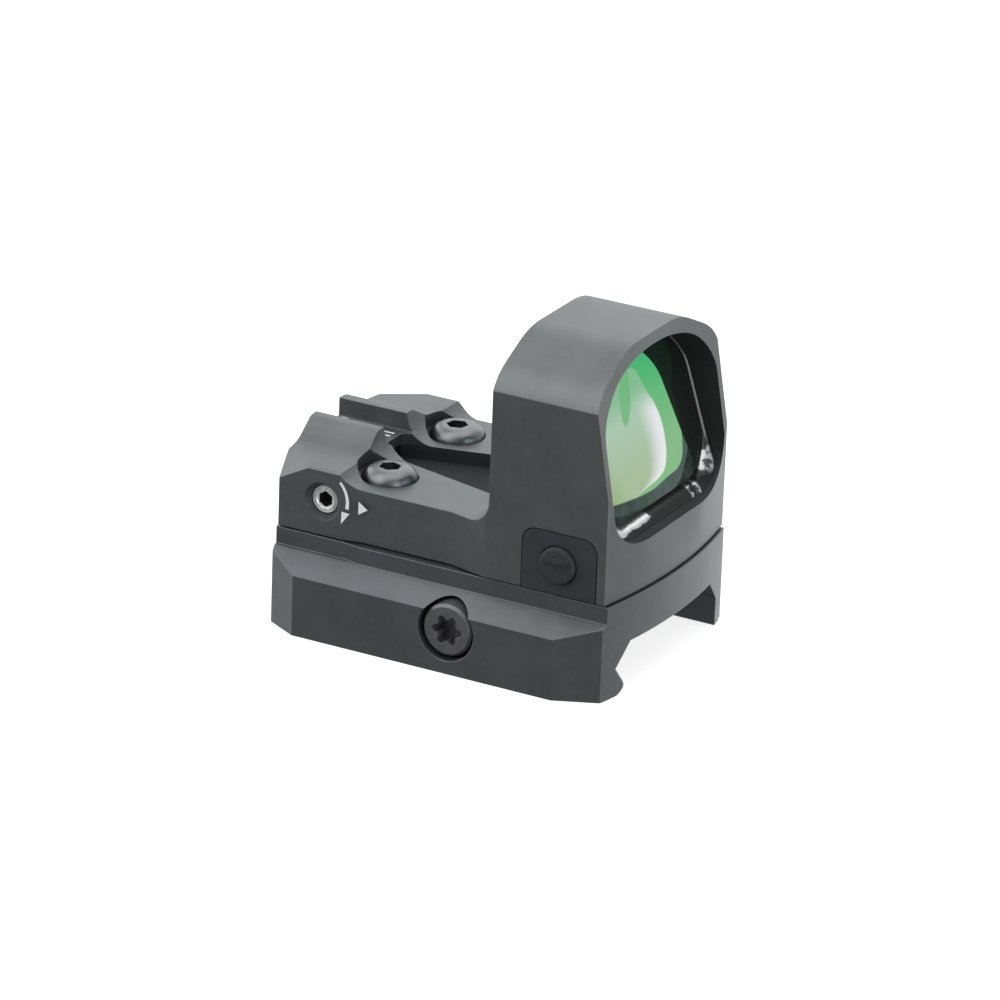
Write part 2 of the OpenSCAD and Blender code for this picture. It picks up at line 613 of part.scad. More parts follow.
module circuit_board() color([0.1, 0.35, 0.2]) difference() {
  box(-8.7, 8.7, 10.6, 17.1, board_top - 0.6, board_top);
  for (s = [-1, 1]) translate([s * 7.9, 16.3, 6]) cylinder(r = 0.5, h = 2, $fn = 24);
}
module circuit_chips() color([0.12, 0.12, 0.12]) {
  box(-2.2, 1.4, 12, 15.4, board_top, 7.7);
  box(3.2, 4.8, 12.4, 13.2, board_top, 7.3);
  box(3.2, 4.8, 14.2, 15.0, board_top, 7.3);
  box(-5.6, -4.0, 12.8, 14.4, board_top, 7.5);
}
module battery() color([0.82, 0.82, 0.8]) translate([0, battery_y, 5.0])
  rotate_extrude($fn = 96) polygon([[0, 0], [6.6, 0], [6.6, 0.12], [7.3, 0.12],
    [7.3, 0.3], [7.85, 0.45], [battery_r, 0.65], [battery_r, 3.0],
    [battery_r - 0.2, 3.2], [0, 3.2]]);
module battery_pad() color([0.15, 0.15, 0.15]) translate([0, battery_y, plate_t + 0.01])
  cylinder(r = 6.4, h = 0.33);
module battery_contact_top() color([0.85, 0.7, 0.35]) {
  box(-1.5, 1.5, -4, 8.8, 8.22, 8.32);
  box(-1.5, 1.5, 8.8, 9.0, 8.22, 8.32);
}
module battery_contact_side() color([0.85, 0.7, 0.35]) {
  box(-1.4, 1.4, 9.6, 9.72, 5.2, 7.3);
  box(-1.4, 1.4, 9.72, 11.2, 6.82, 6.92);
}
module emitter_ribbon() color([0.75, 0.5, 0.15]) ribbon_path(0.06, 5.3, 7.2);

// ---- Buttons, drawn on the right side ----

button_pad_rear = 9.45;
button_pad_front = 17.7;
button_pad_top = 11.27;
button_pad_corner = 1.5;

// Pad outline in Y and Z with rounded upper corners, grown by a margin
module button_pad_outline(margin) {
  radius = button_pad_corner + margin;
  corner_z = button_pad_top - button_pad_corner;
  polygon(concat(
    [[button_pad_front + margin, body_z]],
    arc([button_pad_front - button_pad_corner, corner_z], [radius, radius], [0:11.25:90]),
    arc([button_pad_rear + button_pad_corner, corner_z], [radius, radius], [90:11.25:180]),
    [[button_pad_rear - margin, body_z]]));
}
// Rubber pad that fills the recess
module button_pad() difference() {
  along_x(12.02, 12.72) button_pad_outline(0);
  rod_x(11, 14, button_y, button_z, button_d / 2 + 0.1);
}
// Dome on its stem
module button_body() {
  dome_r = button_d / 2;
  translate([0, button_y, button_z]) rotate([0, 90, 0]) rotate_extrude($fn = 48)
    polygon(concat(
      [[0, 10.7], [1.0, 10.7], [1.0, 12.45], [dome_r, 12.45], [dome_r, 12.95]],
      arc([dome_r - 0.45, 12.95], [0.45, 0.3], [15:15:75]),
      [[dome_r - 0.5, 13.25], [0, 13.35]]));
}
// Raised bar on the dome, with heights from the button centre
module button_bar(half_y, z0, z1) box(13.1, 13.5, button_y - half_y, button_y + half_y,
  button_z + z0, button_z + z1);
module marked_button() {
  button_body();
  button_bar(1.42, 0.35, 0.85);
}
module switch_block() {
  box(8.45, 9.9, 12.1, 14.9, board_top, 9.1);
  rod_x(9.8, 10.25, button_y, button_z, 0.7);
}

module right_button_pad() color([0.2, 0.21, 0.22]) button_pad();
module left_button_pad() color([0.2, 0.21, 0.22]) mirror([1, 0, 0]) button_pad();
module minus_button() color([0.22, 0.23, 0.24]) marked_button();
module plus_button() color([0.22, 0.23, 0.24]) mirror([1, 0, 0]) {
  marked_button();
  button_bar(0.25, -0.82, 1.62);
}
module right_switch() color([0.6, 0.6, 0.62]) switch_block();
module left_switch() color([0.6, 0.6, 0.62]) mirror([1, 0, 0]) switch_block();

housing();
base_mount();
clamp_jaw();
clamp_screw();
jaw_guide_pins();
jaw_spring();
body_screws();
locating_pins();
base_gasket();
lens_front_element();
lens_rear_element();
lens_bezel();
lens_sealant();
windage_screw();
windage_o_ring();
windage_retaining_pin();
windage_carriage();
elevation_screw();
elevation_o_ring();
elevation_retaining_pin();
elevation_nut();
elevation_carriage();
led_emitter();
emitter_window();
circuit_board();
circuit_chips();
battery();
battery_pad();
battery_contact_top();
battery_contact_side();
emitter_ribbon();
right_button_pad();
minus_button();
left_button_pad();
plus_button();
right_switch();
left_switch();
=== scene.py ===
import json
import math
import bmesh
import bpy
from mathutils import Matrix, Vector


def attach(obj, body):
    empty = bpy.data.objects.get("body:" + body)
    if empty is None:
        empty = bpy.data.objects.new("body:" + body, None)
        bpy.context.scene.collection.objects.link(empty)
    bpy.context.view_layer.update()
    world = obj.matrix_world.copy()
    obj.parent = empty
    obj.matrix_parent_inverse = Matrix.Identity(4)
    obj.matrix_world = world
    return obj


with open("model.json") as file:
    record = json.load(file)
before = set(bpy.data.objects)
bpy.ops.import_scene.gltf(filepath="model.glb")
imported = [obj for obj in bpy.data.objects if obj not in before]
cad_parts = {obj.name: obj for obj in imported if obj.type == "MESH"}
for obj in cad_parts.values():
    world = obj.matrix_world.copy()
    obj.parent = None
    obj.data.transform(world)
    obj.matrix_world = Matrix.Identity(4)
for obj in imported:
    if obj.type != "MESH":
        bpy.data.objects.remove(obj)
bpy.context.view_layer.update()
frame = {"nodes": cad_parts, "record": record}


MM = 0.001

WINDAGE_Y, WINDAGE_Z = -13.66, 8.48  # axis of the screw on the +X side
ELEVATION_Y = -15.6                  # axis of the screw in the top, at x = 0
WINDOW_Z = 19.0                      # middle height of the lens window
SIDE_X = 12.15                       # flat side face around the windage screw
GROOVE_Z = 11.6                      # floor of the marked groove
PRINT_TOP, PRINT_BOTTOM = 0.012, -0.004  # printed marks, from the surface they lie on
FLOOR_Z = -5.36


# ---------------------------------------------------------------- node helpers
def is_socket(value):
    return hasattr(value, "links")


def scaled(color, factor):
    return tuple(min(1.0, channel * factor) for channel in color)


class Shading:
    """Builds the node tree of one material. Texture coordinates are in millimetres."""

    def __init__(self, name):
        self.material = bpy.data.materials.new(name)
        self.material.use_nodes = True
        self.tree = self.material.node_tree
        self.tree.nodes.clear()
        self.output = self.new("ShaderNodeOutputMaterial")
        coordinates = self.new("ShaderNodeTexCoord")
        to_mm = self.new("ShaderNodeVectorMath")
        to_mm.operation = "SCALE"
        to_mm.inputs["Scale"].default_value = 1000.0
        self.put(to_mm.inputs[0], coordinates.outputs["Object"])
        self.position = to_mm.outputs[0]

    def new(self, kind):
        return self.tree.nodes.new(kind)

    def put(self, socket, value):
        """Link or set an input; a colour may leave out its alpha."""
        if is_socket(value):
            self.tree.links.new(value, socket)
        elif isinstance(value, (tuple, list)) and len(value) == 3 and socket.type == "RGBA":
            socket.default_value = (*value, 1)
        else:
            socket.default_value = value

    def split(self, vector):
        node = self.new("ShaderNodeSeparateXYZ")
        self.put(node.inputs[0], vector)
        return [node.outputs[axis] for axis in "XYZ"]

    def noise(self, scale, detail=2.0, rough=0.5, stretch=None):
        node = self.new("ShaderNodeTexNoise")
        vector = self.position
        if stretch:
            multiply = self.new("ShaderNodeVectorMath")
            multiply.operation = "MULTIPLY"
            multiply.inputs[1].default_value = stretch
            self.put(multiply.inputs[0], vector)
            vector = multiply.outputs[0]
        self.put(node.inputs["Vector"], vector)
        node.inputs["Scale"].default_value = scale
        node.inputs["Detail"].default_value = detail
        node.inputs["Roughness"].default_value = rough
        return node.outputs["Fac"]

    def voronoi(self, scale):
        node = self.new("ShaderNodeTexVoronoi")
        node.feature = "F1"
        self.put(node.inputs["Vector"], self.position)
        node.inputs["Scale"].default_value = scale
        return node.outputs["Distance"]

    def math(self, operation, *values, clamp=False):
        node = self.new("ShaderNodeMath")
        node.operation = operation
        node.use_clamp = clamp
        for i in range(3):
            self.put(node.inputs[i], values[i] if i < len(values) else 0.0)
        return node.outputs[0]

    def add(self, a, b):
        return self.math("ADD", a, b)

    def sub(self, a, b, clamp=False):
        return self.math("SUBTRACT", a, b, clamp=clamp)

    def mul(self, a, b, clamp=False):
        return self.math("MULTIPLY", a, b, clamp=clamp)

    def mul_add(self, value, times, plus, clamp=False):
        return self.math("MULTIPLY_ADD", value, times, plus, clamp=clamp)

    def less(self, a, b):
        return self.math("LESS_THAN", a, b)

    def greater(self, a, b):
        return self.math("GREATER_THAN", a, b)

    def largest(self, a, b):
        return self.math("MAXIMUM", a, b)

    def absolute(self, value):
        return self.math("ABSOLUTE", value)

    def product(self, first, *others):
        for other in others:
            first = self.mul(first, other)
        return first

    def squares(self, a, b):
        return self.add(self.mul(a, a), self.mul(b, b))

    def radius(self, a, b):
        return self.math("SQRT", self.squares(a, b))

    def vary(self, noise, span, middle, clamp=False):
        """Swing over span about the middle value as the noise goes from 0 to 1."""
        low = self.sub(middle, span / 2) if is_socket(middle) else middle - span / 2
        return self.mul_add(noise, span, low, clamp)

    def dot(self, a, b):
        node = self.new("ShaderNodeVectorMath")
        node.operation = "DOT_PRODUCT"
        self.put(node.inputs[0], a)
        self.put(node.inputs[1], b)
        return node.outputs["Value"]

    def remap(self, value, start, end, low=0.0, high=1.0):
        """Smooth step from low to high while the value goes from start to end."""
        node = self.new("ShaderNodeMapRange")
        node.interpolation_type = "SMOOTHSTEP"
        self.put(node.inputs["Value"], value)
        node.inputs["From Min"].default_value = start
        node.inputs["From Max"].default_value = end
        node.inputs["To Min"].default_value = low
        node.inputs["To Max"].default_value = high
        return node.outputs["Result"]

    def mix(self, factor, a, b):
        node = self.new("ShaderNodeMix")
        node.data_type = "RGBA"
        # inputs 6 and 7 and output 2 are the colour sockets
        for index, value in ((0, factor), (6, a), (7, b)):
            self.put(node.inputs[index], value)
        return node.outputs[2]

    def overlay(self, under, over, mask, strength):
        return self.mix(self.mul(mask, strength), under, over)

    def curve(self, value, points):
        """Smooth line through (in, out) points, both in millimetres."""
        start, end = points[0][0], points[-1][0]
        low, high = min(p[1] for p in points), max(p[1] for p in points)
        node = self.new("ShaderNodeFloatCurve")
        line = node.mapping.curves[0]
        unit = [((p[0] - start) / (end - start), (p[1] - low) / (high - low)) for p in points]
        line.points[0].location = unit[0]
        line.points[1].location = unit[-1]
        for point in unit[1:-1]:
            line.points.new(*point)
        node.mapping.update()
        to_unit = self.new("ShaderNodeMapRange")
        self.put(to_unit.inputs["Value"], value)
        to_unit.inputs["From Min"].default_value = start
        to_unit.inputs["From Max"].default_value = end
        self.put(node.inputs["Value"], to_unit.outputs["Result"])
        return self.mul_add(node.outputs["Value"], high - low, low)

    def bevel(self, radius):
        node = self.new("ShaderNodeBevel")
        node.samples = 6
        node.inputs["Radius"].default_value = radius * MM
        return node.outputs[0]

    def edge_mask(self, radius):
        """A mask near 1 where the surface turns a corner, and the rounded normal."""
        rounded = self.bevel(radius)
        geometry = self.new("ShaderNodeNewGeometry")
        turn = self.sub(1.0, self.dot(rounded, geometry.outputs["Normal"]))
        return self.remap(turn, 0.02, 0.25), rounded

    def bump(self, height, depth, strength, normal=None):
        node = self.new("ShaderNodeBump")
        node.inputs["Distance"].default_value = depth * MM
        node.inputs["Strength"].default_value = strength
        self.put(node.inputs["Height"], height)
        if normal is not None:
            self.put(node.inputs["Normal"], normal)
        return node.outputs[0]

    def principled(self, **settings):
        node = self.new("ShaderNodeBsdfPrincipled")
        sockets = {"color": "Base Color", "metal": "Metallic", "rough": "Roughness",
                   "normal": "Normal", "spec": "Specular IOR Level",
                   "coat": "Coat Weight", "coat_rough": "Coat Roughness"}
        for key, value in settings.items():
            self.put(node.inputs[sockets[key]], value)
        return node

    def bsdf(self, kind, color, rough=None, normal=None):
        node = self.new("ShaderNodeBsdf" + kind)
        self.put(node.inputs["Color"], color)
        if rough is not None:
            node.inputs["Roughness"].default_value = rough
        if normal is not None:
            self.put(node.inputs["Normal"], normal)
        return node

    def mix_shaders(self, factor, first, second):
        node = self.new("ShaderNodeMixShader")
        for socket, value in zip(node.inputs, (factor, first.outputs[0], second.outputs[0])):
            self.put(socket, value)
        return node

    def finish(self, shader):
        self.put(self.output.inputs["Surface"], shader.outputs[0])
        return self.material


# ------------------------------------------------------------------ materials
def recess_shade_mask(mat):
    """Mask of painted shade in the housing's recesses: window walls, trough, screw pockets and
    side bore.
    """
    x, y, z = mat.split(mat.position)
    geometry = mat.new("ShaderNodeNewGeometry")
    normal_x, normal_y, normal_z = mat.split(geometry.outputs["True Normal"])
    # negative where a wall faces the middle of the window
    outward = mat.add(mat.mul(normal_x, x), mat.mul(normal_z, mat.sub(z, WINDOW_Z)))
    window = mat.product(
        mat.less(outward, -0.5), mat.greater(y, 7.0),
        mat.less(mat.absolute(normal_y), 0.8), mat.greater(z, 9.3))
    # a box about y = -0.2, 7.4 mm to either side and 12.3 mm fore and aft
    side = mat.absolute(x)
    trough = mat.product(
        mat.less(side, 7.4), mat.less(z, 10.43), mat.greater(z, 8.8),
        mat.less(mat.absolute(mat.sub(y, -0.2)), 12.3))
    # upright pockets at x = +-6.9, y = -8.9, without their upward faces
    from_pocket = mat.radius(mat.sub(side, 6.9), mat.add(y, 8.9))
    pocket = mat.product(mat.less(from_pocket, 3.34), mat.less(normal_z, 0.5))
    # bore of the windage screw, without the faces that look along +X
    from_bore = mat.radius(mat.add(y, -WINDAGE_Y), mat.sub(z, WINDAGE_Z))
    bore = mat.product(
        mat.less(from_bore, 2.06), mat.less(normal_x, 0.97), mat.greater(x, 4.0))
    holes = mat.largest(mat.mul(pocket, 0.8), mat.mul(bore, 0.75))
    return mat.largest(window, mat.largest(trough, holes))


def anodised(name, base, paint_recess_shade=False):
    """Bead blasted, anodised aluminium: fine grain, slow colour drift, rubbed edges that are
    also lightened as a painted edge highlight.
    """
    rough, spec, metal = 0.42, 0.5, 0.75
    mat = Shading(name)
    slow = mat.noise(scale=0.22)
    middle = mat.noise(scale=1.7, detail=3.0, rough=0.6)
    grain = mat.noise(scale=11.0, detail=3.0, rough=0.65)
    pits = mat.voronoi(scale=7.5)
    edges, rounded = mat.edge_mask(radius=0.14)
    breakup = mat.remap(mat.noise(scale=2.6, detail=3.0, rough=0.7), 0.42, 0.62)
    # edges lightened, partly as rubbed wear and partly as a painted edge highlight
    worn_and_highlit_edges = mat.mul(edges, mat.mul_add(breakup, times=0.6, plus=0.4), clamp=True)
    color = mat.mix(mat.remap(slow, 0.3, 0.7), scaled(base, 0.93), scaled(base, 1.08))
    for mask, strength, brightness in (
            (mat.remap(middle, 0.35, 0.7), 0.35, 1.18),
            (mat.remap(grain, 0.5, 0.75), 0.3, 1.35),
            (worn_and_highlit_edges, 0.35, 3.4)):
        color = mat.overlay(color, scaled(base, brightness), mask, strength)
    # painted shade: the recesses are darkened to near black and lose their shine
    if paint_recess_shade:
        black = recess_shade_mask(mat)
        color = mat.overlay(color, scaled(base, 0.10), black, strength=0.82)
        spec = mat.mul_add(black, times=-0.97 * spec, plus=spec)
        metal = mat.mul_add(black, times=-metal, plus=metal)
    rough = mat.vary(middle, span=0.09, middle=rough)
    rough = mat.vary(grain, span=0.08, middle=rough)
    rough = mat.sub(rough, mat.mul(worn_and_highlit_edges, 0.1), clamp=True)
    height = mat.add(mat.mul(grain, 0.6), mat.mul(mat.remap(pits, 0.0, 0.5), 0.25))
    normal = mat.bump(height, depth=0.010, strength=0.45, normal=rounded)
    return mat.finish(mat.principled(
        color=color, rough=rough, spec=spec, metal=metal, normal=normal))


def steel(name, base, rough, axis, metal=1.0, socket=None):
    """Turned metal: fine drag marks across the axis, soft smudges, bright edges.

    socket is the centre across the axis, radius and outer limit of a key socket, painted near
    black inside as shade.
    """
    mat = Shading(name)
    stretch = [1.0 if letter == axis else 0.12 for letter in "XYZ"]
    drag = mat.noise(scale=16.0, detail=3.0, rough=0.6, stretch=stretch)
    smudge = mat.noise(scale=0.9, detail=3.0, rough=0.6)
    fine = mat.noise(scale=34.0)
    edges, rounded = mat.edge_mask(radius=0.06)
    color = mat.mix(mat.remap(smudge, 0.3, 0.75), scaled(base, 0.86), scaled(base, 1.08))
    color = mat.overlay(color, scaled(base, 1.35), edges, strength=0.5)
    if socket:
        centre, radius, limit = socket
        across = mat.split(mat.position)
        along = across.pop("XYZ".index(axis))
        from_axis = mat.radius(*[mat.sub(place, mid) for place, mid in zip(across, centre)])
        # the inside of the key socket is painted near black: painted shade
        hole = mat.mul(mat.less(from_axis, radius), mat.less(along, limit))
        color = mat.overlay(color, (0.008, 0.008, 0.008), hole, strength=0.94)
    rough = mat.vary(smudge, span=0.16, middle=rough)
    rough = mat.vary(drag, span=0.12, middle=rough, clamp=True)
    height = mat.add(mat.mul(drag, 0.5), mat.mul(fine, 0.25))
    normal = mat.bump(height, depth=0.004, strength=0.5, normal=rounded)
    return mat.finish(mat.principled(color=color, metal=metal, rough=rough, normal=normal))


def moulded(name, base, rough, spec=0.4, grain=6.0, depth=0.012):
    """Moulded rubber or plastic with a fine spark-eroded texture."""
    mat = Shading(name)
    texture = mat.noise(scale=grain, detail=4.0, rough=0.7)
    slow = mat.noise(scale=0.5)
    edges, rounded = mat.edge_mask(radius=0.1)
    color = mat.mix(mat.remap(slow, 0.3, 0.7), scaled(base, 0.9), scaled(base, 1.12))
    color = mat.overlay(color, scaled(base, 1.9), edges, strength=0.25)
    peaks = mat.remap(texture, 0.55, 0.8)
    color = mat.overlay(color, scaled(base, 1.5), peaks, strength=0.25)
    rough = mat.vary(texture, span=0.18, middle=rough, clamp=True)
    normal = mat.bump(texture, depth, strength=0.6, normal=rounded)
    return mat.finish(mat.principled(color=color, rough=rough, spec=spec, normal=normal))


def glossy_film(name, base):
    mat = Shading(name)
    slow = mat.noise(scale=0.8)
    specks = mat.noise(scale=9.0)
    edges, rounded = mat.edge_mask(radius=0.06)
    color = mat.overlay(base, scaled(base, 4.0), edges, strength=0.3)
    rough = mat.mul_add(mat.remap(specks, 0.5, 0.8), times=0.06, plus=0.25)
    normal = mat.bump(slow, depth=0.03, strength=0.25, normal=rounded)
    return mat.finish(mat.principled(
        color=color, rough=rough, spec=0.6, coat=0.3, coat_rough=0.04, normal=normal))


def adhesive(name):
    """Black bead of adhesive, smeared so that it shines only in places."""
    mat = Shading(name)
    x, _, z = mat.split(mat.position)
    smear = mat.noise(scale=1.1, detail=3.0, rough=0.6)
    # low strip on the +X side, with ragged ends
    low = mat.product(
        mat.remap(mat.vary(smear, span=1.6, middle=x), 3.0, 3.3),
        mat.remap(z, 12.2, 11.6),
        mat.remap(mat.mul_add(smear, times=0.5, plus=z), 11.12, 11.25))
    # upright strip at the -X end, unevenly bright
    left = mat.product(
        mat.remap(z, 11.3, 12.1),
        mat.remap(x, -6.8, -7.6),
        mat.remap(mat.mul_add(smear, times=1.2, plus=z), 14.9, 13.9))
    uneven = mat.remap(mat.noise(scale=0.9, rough=0.6), 0.44, 0.56)
    left = mat.mul(left, mat.mul_add(uneven, times=0.45, plus=0.06))
    # short patch about x = -6.1, and a faint shine over the upper part
    patch = mat.mul(mat.remap(mat.absolute(mat.add(x, 6.1)), 1.2, 0.7),
                    mat.remap(smear, 0.42, 0.52))
    upper = mat.remap(z, 13.0, 15.0)
    shine = mat.largest(mat.largest(mat.mul(low, 0.62), left),
                        mat.largest(mat.mul(patch, 0.55), mat.mul(upper, 0.10)))
    shine = mat.mul(shine, mat.mul_add(smear, times=0.5, plus=0.7), clamp=True)
    normal = mat.bump(smear, depth=0.05, strength=0.4, normal=mat.bevel(0.12))
    dull = mat.principled(
        color=(0.008, 0.009, 0.009), rough=mat.mul_add(smear, times=0.2, plus=0.2),
        spec=0.12, normal=normal)
    wet = mat.bsdf("Glossy", (0.86, 0.88, 0.88), rough=0.22, normal=normal)
    return mat.finish(mat.mix_shaders(shine, dull, wet))


# Boundaries of the painted reflections on the lens.
# -X edge of the pale panel, a painted reflection: (z, x)
PANEL_EDGE = [
    (12.5, 9.0), (12.97, 2.2), (13.11, 0.1), (13.32, -1.67), (13.71, -2.91),
    (14.59, -3.78), (16.12, -4.4), (18.0, -4.55), (19.87, -4.1), (21.5, -3.12),
    (23.21, -2.38), (24.04, -1.8), (24.4, 0.2), (24.8, 9.0)]
# lower edge of the coloured field, then of the grey band beneath it, a painted reflection of the
# dark window wall: (x, z)
COLOR_BOTTOM = [
    (-9.0, 14.2), (-6.5, 13.31), (-5.0, 12.97), (-2.5, 12.66), (0.7, 12.67),
    (4.8, 13.05), (9.0, 13.7)]
GREY_BOTTOM = [
    (-9.0, 13.6), (-6.9, 12.39), (-5.2, 11.62), (-2.8, 11.25), (0.3, 11.44),
    (4.4, 11.83), (9.0, 12.6)]
# -X edge of the coloured field, then of the grey rim outside it, a painted reflection of the
# dark window wall: (z, x)
COLOR_SIDE = [
    (12.6, 0.0), (12.88, -3.09), (13.09, -5.5), (13.7, -6.65), (14.83, -7.38),
    (16.59, -7.9), (18.29, -8.04), (20.1, -7.85), (22.0, -9.0)]
GREY_SIDE = [
    (11.2, 0.0), (11.48, -3.37), (11.88, -5.31), (12.94, -6.74), (14.06, -7.99),
    (15.41, -8.49), (17.0, -8.4), (18.5, -8.3), (20.1, -8.0), (22.0, -9.1)]
# darkest painted reflection, of the black window wall
PAINTED_WALL_REFLECTION = (0.012, 0.016, 0.014)


def painted_panel_reflection(mat, x, z, inside):
    """Painted reflection of a pale panel; inside is the distance from its -X edge."""
    pale = mat.mix(mat.remap(z, 13.5, 20.5), (0.47, 0.61, 0.38), (0.50, 0.69, 0.52))
    # yellower towards +X
    yellow = mat.mix(mat.remap(z, 14.0, 20.0), (0.385, 0.555, 0.26), (0.44, 0.62, 0.42))
    slanted = mat.mul_add(z, times=-0.35, plus=x)
    pale = mat.mix(mat.remap(slanted, -0.5, 3.5), pale, yellow)
    # painted sheen, nearly white along the -X edge
    white = mat.product(mat.remap(inside, 4.2, 0.5), mat.remap(z, 22.5, 18.5),
                        mat.remap(z, 12.9, 13.4))
    pale = mat.mix(white, pale, (0.97, 0.98, 0.99))
    # green towards the top
    pale = mat.overlay(pale, (0.21, 0.58, 0.28), mat.remap(z, 19.5, 23.0), strength=0.80)
    # slanting elliptical streak hanging from the top, part of the painted reflection
    axis_x = mat.mul_add(mat.sub(z, 22.0), times=-0.42, plus=1.1)
    across = mat.mul(mat.sub(x, axis_x), 0.85)
    along = mat.mul(mat.sub(z, 22.2), 0.36)
    streak = mat.remap(mat.squares(across, along), 0.7, 1.15, low=1.0, high=0.0)
    return mat.overlay(pale, (0.18, 0.57, 0.22), streak, strength=0.85)


def lens_coating_and_painted_reflections(mat):
    """Green coating colour of the lens with painted reflections in it, as seen from the target
    side.
    """
    x, _, z = mat.split(mat.position)
    inside = mat.sub(x, mat.curve(z, PANEL_EDGE))
    ring = mat.mix(mat.remap(z, 15.0, 25.5), (0.28, 0.60, 0.28), (0.060, 0.56, 0.19))
    tint = mat.mix(mat.remap(inside, -0.12, 0.12), ring, painted_panel_reflection(mat, x, z, inside))
    # painted reflection of the dark window wall: grey beside the coloured field, black beyond
    grey = mat.mix(mat.remap(x, -4.0, 6.0), (0.085, 0.12, 0.10), (0.045, 0.068, 0.060))
    # boundary, its input, coordinate it limits, soft edge, colour beyond the boundary
    for points, along, limited, soft, color in (
            (COLOR_BOTTOM, x, z, (-0.06, 0.12), grey),
            (COLOR_SIDE, z, x, (-0.05, 0.12), (0.085, 0.115, 0.11)),
            (GREY_SIDE, z, x, (-0.08, 0.20), PAINTED_WALL_REFLECTION),
            (GREY_BOTTOM, x, z, (-0.10, 0.25), PAINTED_WALL_REFLECTION)):
        beyond = mat.sub(mat.curve(along, points), limited)
        tint = mat.mix(mat.remap(beyond, *soft), tint, color)
    haze = mat.remap(mat.noise(scale=0.7, detail=3.0, rough=0.6), 0.35, 0.75)
    return mat.overlay(tint, (0.55, 0.75, 0.6), haze, strength=0.05)


def coated_lens(name):
    """Dichroic lens: a tinted mirror from the target side, nearly clear from the user's."""
    mat = Shading(name)
    geometry = mat.new("ShaderNodeNewGeometry")
    facing = mat.dot(geometry.outputs["Incoming"], (0, 1, 0))
    # the mirror's tint carries painted reflections as well as the coating colour
    mirror = mat.bsdf("Glossy", lens_coating_and_painted_reflections(mat), rough=0.03)
    clear = mat.bsdf("Transparent", (0.86, 0.93, 0.97))
    sheen = mat.bsdf("Glossy", (0.75, 0.55, 0.75), rough=0.02)
    film = mat.bsdf("Diffuse", (0.30, 0.38, 0.36))
    user_side = mat.mix_shaders(0.10, clear, sheen)
    target_side = mat.mix_shaders(0.035, mirror, film)
    from_target = mat.remap(facing, 0.02, 0.12)
    return mat.finish(mat.mix_shaders(from_target, user_side, target_side))


def clear_glass(name):
    mat = Shading(name)
    fresnel = mat.new("ShaderNodeFresnel")
    fresnel.inputs["IOR"].default_value = 1.5
    dust = mat.remap(mat.noise(scale=6.0, detail=3.0, rough=0.7), 0.6, 0.8)
    color = mat.overlay((0.9, 0.96, 0.97), (0.7, 0.75, 0.75), dust, strength=0.1)
    clear = mat.bsdf("Transparent", color)
    mirror = mat.bsdf("Glossy", (0.8, 0.7, 0.85), rough=0.03)
    factor = mat.mul_add(fresnel.outputs[0], times=0.9, plus=0.05, clamp=True)
    return mat.finish(mat.mix_shaders(factor, clear, mirror))


def printed(name, base):
    mat = Shading(name)
    grain = mat.noise(scale=14.0, detail=3.0, rough=0.7)
    color = mat.mix(mat.remap(grain, 0.35, 0.7), scaled(base, 0.82), base)
    return mat.finish(mat.principled(
        color=color, rough=mat.mul_add(grain, times=0.2, plus=0.5), spec=0.3,
        normal=mat.bump(grain, depth=0.006, strength=0.5)))


def circuit_board(name):
    """Green laminate with tracks along Y, shifted sideways from one row to the next."""
    mat = Shading(name)
    x, y, _ = mat.split(mat.position)
    shift = mat.mul(mat.math("FLOOR", mat.mul(y, 0.7)), 0.6)
    wave = mat.math("SINE", mat.mul(mat.add(x, shift), 7.0))
    track = mat.remap(wave, 0.72, 0.86)
    grain = mat.noise(scale=5.0)
    color = mat.mix(track, (0.012, 0.09, 0.035), (0.03, 0.22, 0.09))
    return mat.finish(mat.principled(
        color=color, rough=mat.mul_add(grain, times=0.2, plus=0.2), spec=0.5, coat=0.4,
        normal=mat.bump(mat.add(track, grain), depth=0.01, strength=0.4)))


def build_materials(recipes):
    return {name: build(name, **settings) for name, (build, settings) in recipes.items()}


MATERIALS = build_materials({
    "anodised_body": (anodised, dict(base=(0.116, 0.124, 0.126), paint_recess_shade=True)),
    "anodised_mount": (anodised, dict(base=(0.10, 0.107, 0.113))),
    "black_steel": (steel, dict(base=(0.13, 0.13, 0.134), rough=0.40, axis="X", metal=0.6)),
    "bright_steel": (steel, dict(base=(0.72, 0.72, 0.72), rough=0.30, axis="X", metal=0.45)),
    "satin_steel": (steel, dict(base=(0.165, 0.168, 0.172), rough=0.33, axis="Z")),
    "spring_steel": (steel, dict(base=(0.5, 0.5, 0.5), rough=0.25, axis="X")),
    "black_rubber": (moulded, dict(base=(0.012, 0.012, 0.012), rough=0.7)),
    "grey_rubber": (moulded, dict(base=(0.028, 0.031, 0.036), rough=0.62, spec=0.25, grain=8.0)),
    "coated_glass": (coated_lens, {}),
    "clear_glass": (clear_glass, {}),
    "gloss_black": (adhesive, {}),
    "black_sealant": (moulded, dict(base=(0.012, 0.012, 0.012), rough=0.35, spec=0.5)),
    "brass": (steel, dict(base=(0.62, 0.46, 0.2), rough=0.3, axis="Y")),
    "contact_brass": (steel, dict(base=(0.75, 0.58, 0.28), rough=0.25, axis="Y")),
    "black_plastic": (moulded, dict(base=(0.018, 0.018, 0.019), rough=0.5)),
    "emitter_ceramic": (moulded, dict(base=(0.62, 0.60, 0.54), rough=0.5)),
    "board_laminate": (circuit_board, {}),
    "cell_steel": (steel, dict(base=(0.6, 0.6, 0.57), rough=0.24, axis="Z")),
    "black_foam": (moulded, dict(
        base=(0.02, 0.02, 0.02), rough=0.9, spec=0.1, grain=3.0, depth=0.05)),
    "ribbon_film": (glossy_film, dict(base=(0.42, 0.2, 0.03))),
    "switch_metal": (steel, dict(base=(0.5, 0.5, 0.5), rough=0.3, axis="X")),
    "white_print": (printed, dict(base=(0.80, 0.80, 0.79))),
})


